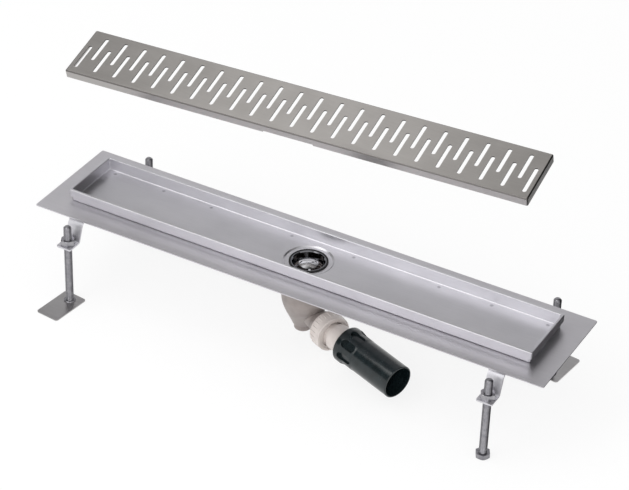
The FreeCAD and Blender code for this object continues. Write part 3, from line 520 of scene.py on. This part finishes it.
PITCH = 1.75 * MM
ROOT_RADIUS = 5.2 * MM
CREST_RADIUS = 5.95 * MM
TIP_RADIUS = 4.0 * MM
POINTS_ROUND = 24
RINGS_PER_TURN = 6
HEAD_HEIGHT = 7.5 * MM
# How deep a bolt's rod runs into its head, so that the two overlap, and two distances for the clean-up.
ROD_IN_HEAD = 1 * MM
SAME_PLACE = 0.01 * MM
HEAD_MARGIN = 0.1 * MM


def threaded_mesh(foot, length):
    """A threaded rod as a plain mesh, standing on foot."""
    holder = bpy.data.objects.new("rod_maker", bpy.data.meshes.new("empty"))
    bpy.context.collection.objects.link(holder)
    maker = holder.modifiers.new("thread", "NODES")
    maker.node_group = rod_tree
    sizes = {
        "Foot": foot, "Length": length, "Pitch": PITCH, "Root radius": ROOT_RADIUS,
        "Crest radius": CREST_RADIUS, "Tip radius": TIP_RADIUS, "Points round": POINTS_ROUND,
        "Rings per turn": RINGS_PER_TURN, "Finish": zinc_rod_painted_shade,
    }
    for name, value in sizes.items():
        maker[rod_sockets[name]] = value
    evaluated = holder.evaluated_get(bpy.context.evaluated_depsgraph_get())
    mesh = bpy.data.meshes.new_from_object(evaluated)
    holder.modifiers.remove(maker)
    bpy.data.objects.remove(holder)
    return mesh


def bolt_head(node):
    """The hexagon head of a CAD bolt, closed where the rod leaves it."""
    head = bmesh.new()
    head.from_mesh(node.data)
    bmesh.ops.remove_doubles(head, verts=head.verts, dist=SAME_PLACE)
    above = [vert for vert in head.verts if vert.co.z > HEAD_HEIGHT + HEAD_MARGIN]
    bmesh.ops.delete(head, geom=above, context="VERTS")
    bmesh.ops.holes_fill(head, edges=[edge for edge in head.edges if edge.is_boundary])
    bmesh.ops.recalc_face_normals(head, faces=head.faces)
    mesh = bpy.data.meshes.new("bolt_head")
    head.to_mesh(mesh)
    head.free()
    return mesh


for name in [name for name in nodes if name.startswith(("leg_stud", "leg_bolt"))]:
    low, high = (Vector(corner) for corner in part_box(name))
    is_bolt = name.startswith("leg_bolt")
    foot = low.z + (HEAD_HEIGHT - ROD_IN_HEAD if is_bolt else 0)
    middle = (low + high) / 2
    thread = threaded_mesh((middle.x, middle.y, foot), high.z - foot)
    body = bmesh.new()
    body.from_mesh(thread)
    for face in body.faces:
        face.smooth = True
    if is_bolt:
        body.from_mesh(bolt_head(nodes[name]))
    mesh = bpy.data.meshes.new(name + "_threaded")
    body.to_mesh(mesh)
    body.free()
    mesh.materials.append(zinc_rod_painted_shade)
    rod = bpy.data.objects.new(name + "_threaded", mesh)
    bpy.context.collection.objects.link(rod)
    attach(rod, "root")
    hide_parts(name)
    print(rod.name, "has", len(mesh.polygons), "faces and is", round(rod.dimensions.z / MM, 1), "mm high")

# %% [markdown]
# ## Floor
#
# The drain stands on a sheet of white paper that is large enough to have no edge in any view. Paper in
# a white room is as bright as the room, except where something stands over it. Rays that the camera
# sees, or that metal reflects, get most of their white straight from the paper, so that the shadow
# stays but is faint, as on a product photograph.

# %% White paper

PAPER_HALF = 6.0
SHADOW_FADE = 0.8


def seen_rays(tree):
    """One for rays from the camera, from gloss or through glass, and nought for the rest."""
    rays = add(tree, "ShaderNodeLightPath").outputs
    seen = rays["Is Camera Ray"]
    for kind in ("Is Glossy Ray", "Is Transmission Ray"):
        seen = add(tree, "ShaderNodeMath", {0: seen, 1: rays[kind]}, operation="ADD", use_clamp=True)
    return seen


def flat_sheet(name, corners):
    """A flat stage piece through its corners."""
    mesh = bpy.data.meshes.new(name)
    mesh.from_pydata(corners, [], [tuple(range(len(corners)))])
    made = bpy.data.objects.new(name, mesh)
    bpy.context.collection.objects.link(made)
    return made


half = PAPER_HALF
floor = flat_sheet("floor", [(-half, -half, 0), (half, -half, 0), (half, half, 0), (-half, half, 0)])
paper, paper_tree, paper_shader = new_material(
    "matt white paper", Roughness=1.0, Base_Color=(1, 1, 1, 1), Specular_IOR_Level=0
)
fade = add(paper_tree, "ShaderNodeMath", {0: seen_rays(paper_tree), 1: SHADOW_FADE}, operation="MULTIPLY")
glow = add(paper_tree, "ShaderNodeEmission", {"Strength": 1.0})
blend = add(paper_tree, "ShaderNodeMixShader", {0: fade, 1: paper_shader, 2: glow})
paper_tree.links.new(blend.outputs[0], paper_tree.nodes["Material Output"].inputs["Surface"])
floor.data.materials.append(paper)
print("paper is", 2 * PAPER_HALF, "m square")

# %% [markdown]
# ## Room
#
# The room is white to the camera and in reflections. It lights the plastics a little less than fully,
# which leaves space for the lamps.

# %% The white room

ROOM_LIGHT = 0.8
room = bpy.data.worlds.new("white room")
bpy.context.scene.world = room
room.use_nodes = True
room_tree = room.node_tree
wall = room_tree.nodes["Background"]
wall.inputs["Color"].default_value = (1, 1, 1, 1)
brightness = add(room_tree, "ShaderNodeMapRange", {"Value": seen_rays(room_tree), "To Min": ROOM_LIGHT})
room_tree.links.new(brightness.outputs[0], wall.inputs["Strength"])

low, high = (Vector(corner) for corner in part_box("sealing_flange"))
MIDDLE = Vector(((low.x + high.x) / 2, (low.y + high.y) / 2, 0))
print("the room gives", ROOM_LIGHT, "of full light, and the drain's middle is at", MIDDLE)

# %% [markdown]
# ## Cards
#
# Metal shows what stands around it, so grey cards hang where the flat steel mirrors them: one far behind
# and above for the channel and the flange, one overhead for the tilted cover, and one on the camera's
# side for the upright walls. Each of them fades from one grey to another along its length. Black cards
# give the dark edges of a product photograph: one at the left for the round black plastic, and three at
# the right, on the paper, behind it and beside it, for the right ends of the cover and the channel. The
# camera itself doesn't see the cards. All places are in metres from the drain's middle.

# %% Cards around the drain


def grey_card(name, corners, stops):
    """A card that fades through greys. stops are pairs of a place along X and a grey."""
    card = flat_sheet(name, [Vector(corner) + MIDDLE for corner in corners])
    card.visible_camera = False
    card.visible_shadow = False
    card.visible_diffuse = False
    material = bpy.data.materials.new(name)
    material.use_nodes = True
    tree = material.node_tree
    point = add(tree, "ShaderNodeSeparateXYZ", {0: add(tree, "ShaderNodeTexCoord").outputs["Object"]})
    first, last = stops[0][0], stops[-1][0]
    along = add(tree, "ShaderNodeMapRange", {
        "Value": point.outputs["X"], "From Min": first + MIDDLE.x, "From Max": last + MIDDLE.x,
    })
    fade = add(tree, "ShaderNodeValToRGB", {"Fac": along})
    marks = fade.color_ramp.elements
    while len(marks) < len(stops):
        marks.new(0.5)
    for mark, (where, code) in zip(marks, stops):
        mark.position = (where - first) / (last - first)
        mark.color = linear(code)
    glow = add(tree, "ShaderNodeEmission", {"Color": fade, "Strength": 1.0})
    tree.links.new(glow.outputs[0], tree.nodes["Material Output"].inputs["Surface"])
    card.data.materials.append(material)
    print(name, "through", ", ".join(code for _, code in stops))


HIGH = 3
grey_card("card behind", [(-5, 2.4, HIGH), (5, 2.4, HIGH), (5, 6, HIGH), (-5, 6, HIGH)], [
    (-3.0, "#C0C0C2"), (-2.4, "#EAEAEC"), (-1.4, "#E0E0E2"),
    (-0.8, "#DCDCDE"), (0.2, "#505052"), (5, "#1C1C1E"),
])
grey_card("card overhead", [(-4, 0.4, HIGH), (5, 0.4, HIGH), (5, 2.4, HIGH), (-4, 2.4, HIGH)], [
    (-2.6, "#505050"), (-2.2, "#8C8C8A"), (-1.8, "#DCDCDA"), (-1.4, "#FFFFFF"),
    (-1.0, "#CCCCCA"), (-0.5, "#6C6C6A"), (0.5, "#2C2C2C"),
])
grey_card("card by the camera", [(-3, -4.1, 2), (5, -4.1, 2), (5, -3.2, 4.5), (-3, -3.2, 4.5)], [
    (-3, "#707070"), (-2.4, "#8C8C8C"), (-2.0, "#B8B8B8"),
    (-1.6, "#CCCCCC"), (-0.8, "#C0C0C0"), (5, "#707070"),
])

BLACK = [(0, "#1A1A1C"), (1, "#1A1A1C")]
ON_PAPER = 0.002
black_cards = {
    "card at the left": [(-2.4, -2.4, 0.8), (-2.4, 0.6, 0.8), (-2.4, 0.6, 2.8), (-2.4, -2.4, 2.8)],
    "card on the paper": [
        (0.42, -0.05, ON_PAPER), (1.6, -0.05, ON_PAPER), (1.6, 1.3, ON_PAPER), (0.42, 1.3, ON_PAPER),
    ],
    "card at the back right": [(0.8, 3, 0), (5, 3, 0), (5, 3, 2.9), (0.8, 3, 2.9)],
    "card at the right": [(4.5, -1, 0), (4.5, 3, 0), (4.5, 3, 2.9), (4.5, -1, 2.9)],
}
for name, corners in black_cards.items():
    grey_card(name, corners, BLACK)

# %% [markdown]
# ## Lamps
#
# Three large soft lamps give the pieces their shape. One hangs flat overhead and a little to the left,
# in the direction that the rounded edges of the rim mirror, so that a bright line runs along them. One
# stands at the front left, where the upright walls of the channel mirror it by way of the flat steel. A
# weaker one at the front right lights the ball joint, which stands in the flange's shade.

# %% Soft lamps


def soft_lamp(name, width, depth, watts, place, look):
    """A rectangular lamp at a place from the drain's middle, facing the direction look."""
    lamp = bpy.data.lights.new(name, "AREA")
    lamp.shape = "RECTANGLE"
    lamp.size, lamp.size_y = width, depth
    lamp.energy = watts
    stand = bpy.data.objects.new(name, lamp)
    stand.location = MIDDLE + Vector(place)
    stand.rotation_euler = Vector(look).to_track_quat("-Z", "Y").to_euler()
    stand.visible_camera = False
    bpy.context.collection.objects.link(stand)
    print(name, "of", watts, "W is", round(Vector(place).length, 2), "m away")


soft_lamp("overhead lamp", 1.6, 2.4, 18, (-1.35, -0.95, 3), (0, 0, -1))
soft_lamp("front lamp", 1.5, 1.6, 13, (-0.8, -2.3, 2.0), (0.8, 2.3, -1.9))
soft_lamp("fill lamp", 1.2, 1.2, 9, (1.2, -1.9, 1.2), (-1.2, 1.9, -1.1))

# %% [markdown]
# ## Camera
#
# The camera looks down at the drain from the front right, through a long lens, so that the far end is
# only a little smaller than the near end. Its place was worked out from the corners of the rim and the
# flange. The focal length is given in pixels of a picture 629 pixels wide.

# %% Camera

PHOTO_WIDTH = 629
FOCAL_PIXELS = 2419.97
SENSOR_WIDTH = 36.0
CAMERA_PLACE = (1.696152, -2.357117, 2.108554)
CAMERA_TURN = (55.2969, -1.6243, 29.7874)
SIGHT = 50
camera_data = bpy.data.cameras.new("camera")
camera_data.sensor_width = SENSOR_WIDTH
camera_data.lens = SENSOR_WIDTH * FOCAL_PIXELS / PHOTO_WIDTH
camera_data.clip_end = SIGHT
camera = bpy.data.objects.new("camera", camera_data)
camera.location = CAMERA_PLACE
camera.rotation_euler = [math.radians(turn) for turn in CAMERA_TURN]
bpy.context.collection.objects.link(camera)
bpy.context.scene.camera = camera
bpy.context.scene.view_settings.view_transform = "Standard"
print("lens", round(camera_data.lens, 1), "mm")
